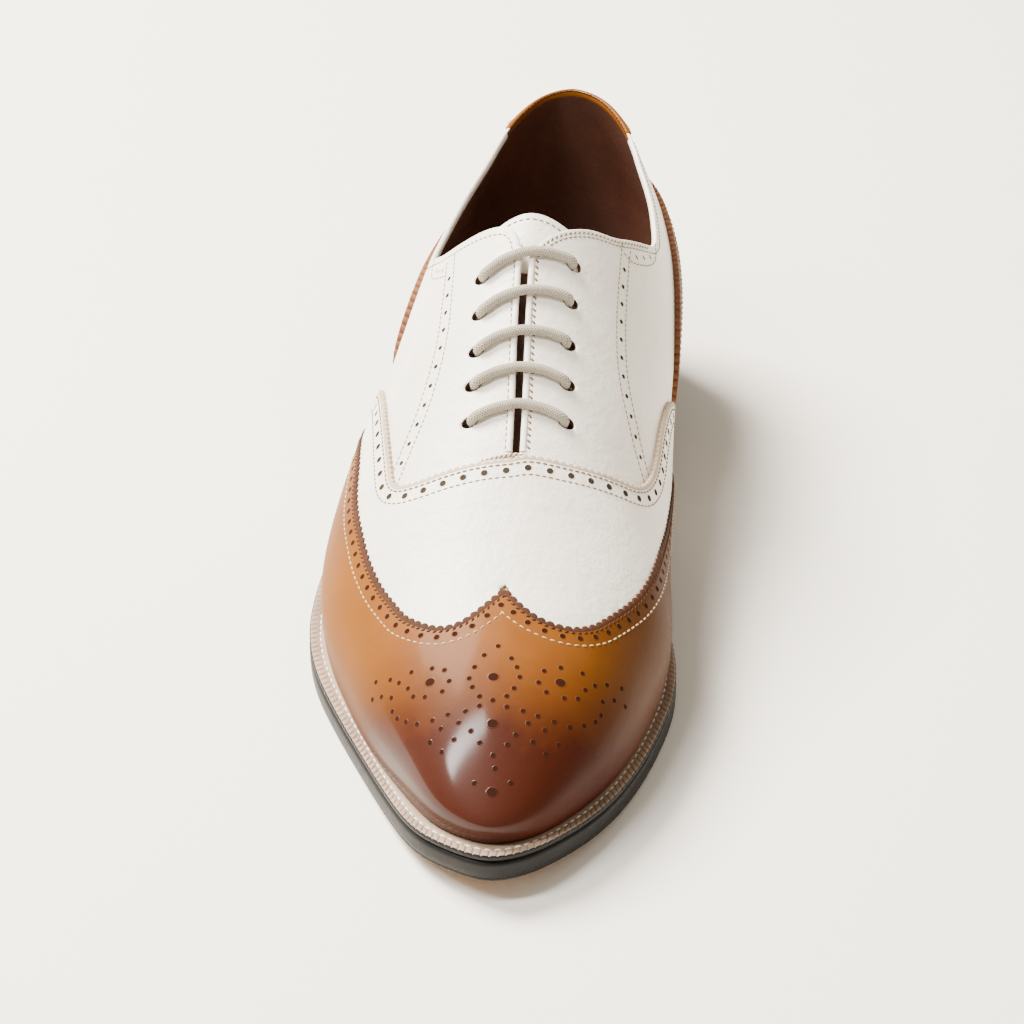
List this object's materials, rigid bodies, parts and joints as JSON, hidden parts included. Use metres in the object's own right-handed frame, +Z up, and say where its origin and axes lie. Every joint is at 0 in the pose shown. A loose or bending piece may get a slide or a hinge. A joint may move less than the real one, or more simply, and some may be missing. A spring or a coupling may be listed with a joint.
{
  "type": "spectator shoe",
  "caption": "Two-tone full brogue oxford shoe: white body, tan wing cap and heel counter, laced through punched eyelets, on a welted sole with a stacked heel",
  "frame": {"origin": "centre of the footprint's bounding box in plan, at floor level", "axes": "+Z up, -Y towards the toe, +X towards the medial side of a right shoe"},
  "size_m": [0.1108, 0.2982, 0.1057],
  "materials": {
    "white_leather": "smooth, low sheen",
    "tan_leather": "burnished, glossy at the toe",
    "sole_leather": "black edge dressing, satin",
    "heel_rubber": "matte",
    "welt_leather": "matte, stitched",
    "insole_leather": "matte",
    "lace_cotton": "waxed weave"
  },
  "bodies": {
    "root": {"outsole": "sole_leather", "heel_block": "sole_leather", "top_lift": "heel_rubber", "welt": "welt_leather", "insole": "insole_leather", "upper": "white_leather", "vamp": "white_leather", "wing_cap": "tan_leather", "heel_counter": "tan_leather", "heel_tab": "tan_leather", "tongue": "white_leather", "lace": "lace_cotton"}
  },
  "joints": []
}
